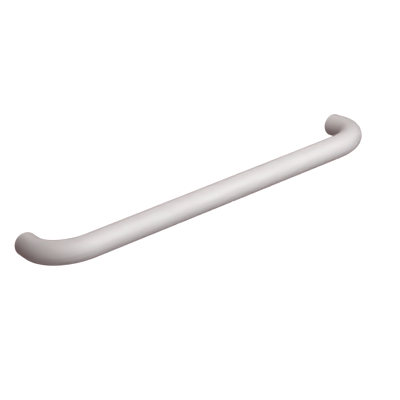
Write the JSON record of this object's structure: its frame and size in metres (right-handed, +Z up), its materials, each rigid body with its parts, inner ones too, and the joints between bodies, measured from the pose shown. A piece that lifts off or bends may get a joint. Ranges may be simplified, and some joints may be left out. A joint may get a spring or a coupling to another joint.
{
  "type": "towel rail",
  "caption": "Wall-mounted towel rail bent from a plain white tube, with legs that slip over hidden wall spigots and lock with grub screws from below.",
  "frame": {"origin": "on the wall plane, midway between the two wall screw holes", "axes": "+Z up, X along the bar, +Y into the wall; the rail stands out from the wall along -Y"},
  "size_m": [0.532, 0.091, 0.032],
  "materials": {
    "white_nylon": "satin",
    "spigot_metal": "turned",
    "screw_steel": "satin"
  },
  "bodies": {
    "root": {"bent_rail": "white_nylon", "left_wall_spigot": "spigot_metal", "right_wall_spigot": "spigot_metal", "left_grub_screw": "screw_steel", "right_grub_screw": "screw_steel"}
  },
  "joints": []
}
